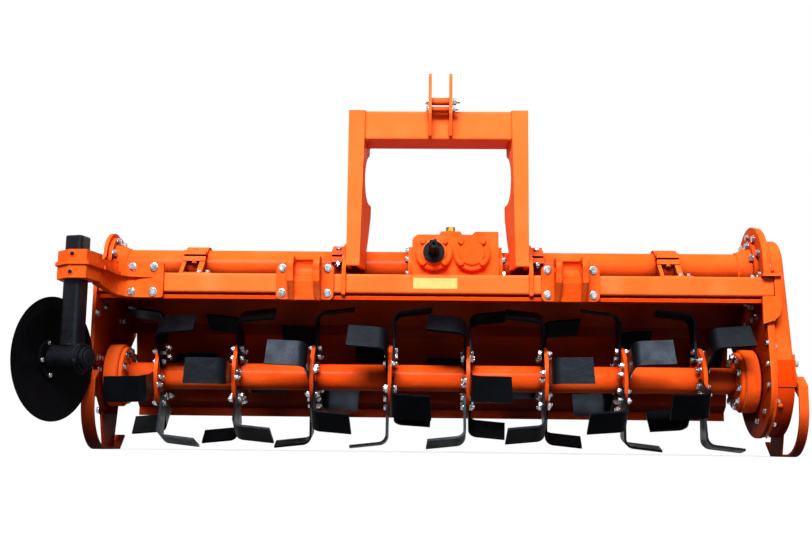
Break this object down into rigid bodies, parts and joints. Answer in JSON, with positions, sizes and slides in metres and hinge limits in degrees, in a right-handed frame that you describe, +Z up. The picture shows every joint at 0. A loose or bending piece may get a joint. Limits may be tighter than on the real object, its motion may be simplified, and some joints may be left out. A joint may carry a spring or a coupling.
{
  "type": "rotary tiller",
  "caption": "Three-point-hitch rotary tiller with centre gearbox, bladed rotor under a hinged-back hood, skids and a side disc coulter.",
  "frame": {"origin": "middle of the machine's plan outline, at the floor it stands on", "axes": "+Z up, +Y rearwards to the rear board, -Y to the tractor, +X to the gear case end, along the rotor axis"},
  "size_m": [2.433, 0.9548, 1.256],
  "materials": {
    "orange_paint": "gloss",
    "cast_paint": "satin cast",
    "blade_steel": "black, slightly glossy",
    "black_paint": "satin black",
    "zinc": "bright zinc",
    "brass": "satin",
    "black_rubber": "matt"
  },
  "bodies": {
    "frame": {"toolbar": "orange_paint", "main_tube_left": "orange_paint", "main_tube_right": "orange_paint", "left_wall": "orange_paint", "bearing_housing": "cast_paint", "right_wall": "orange_paint", "gear_case": "cast_paint", "case_guard": "orange_paint", "toolbar_end_plate": "orange_paint", "gearbox": "cast_paint", "input_cover": "cast_paint", "blank_cover": "cast_paint", "seal_collar": "black_rubber", "breather_cap": "brass", "crossbeam": "orange_paint", "upright_right": "orange_paint", "upright_left": "orange_paint", "top_link_ears": "orange_paint", "top_link_spacers": "zinc", "hanger_right": "orange_paint", "hanger_left": "orange_paint", "tube_clamp_right": "orange_paint", "tube_clamp_left": "orange_paint", "saddle_left": "orange_paint", "saddle_right": "orange_paint", "hitch_bracket_right": "cast_paint", "hitch_bracket_left": "cast_paint", "hood": "orange_paint", "hood_hinges": "orange_paint", "skid_left": "orange_paint", "skid_right": "orange_paint", "coulter_arm": "cast_paint"},
    "rotor": {"rotor_shaft": "orange_paint", "rotor_hub_left": "cast_paint", "rotor_hub_right": "cast_paint", "blades_left": "blade_steel", "blades_right": "blade_steel"},
    "pto": {"pto_shaft": "black_paint"},
    "board": {"rear_board": "orange_paint"},
    "coulter_post": {"coulter_shank": "black_paint"},
    "disc": {"coulter_disc": "blade_steel"}
  },
  "joints": [
    {"name": "rotor_spin", "type": "hinge", "parent": "frame", "child": "rotor", "pos_m": [0.0295, 0.09538, 0.25], "axis": [1, 0, 0], "continuous": true},
    {"name": "pto_spin", "type": "hinge", "parent": "frame", "child": "pto", "pos_m": [0.0175, -0.07962, 0.666], "axis": [0, 1, 0], "continuous": true},
    {"name": "board_hinge", "type": "hinge", "parent": "frame", "child": "board", "pos_m": [0.0295, 0.37838, 0.452], "axis": [1, 0, 0], "range_deg": [-8, 65]},
    {"name": "coulter_slide", "type": "slide", "parent": "frame", "child": "coulter_post", "axis": [0, 0, 1], "range_m": [-0.04, 0.04]},
    {"name": "disc_spin", "type": "hinge", "parent": "coulter_post", "child": "disc", "pos_m": [-1.16774, -0.2908, 0.275], "axis": [0.9397, -0.342, 0], "continuous": true}
  ],
  "couplings": [
    {"joint": "pto_spin", "follows": "rotor_spin", "ratio": 2.57}
  ]
}
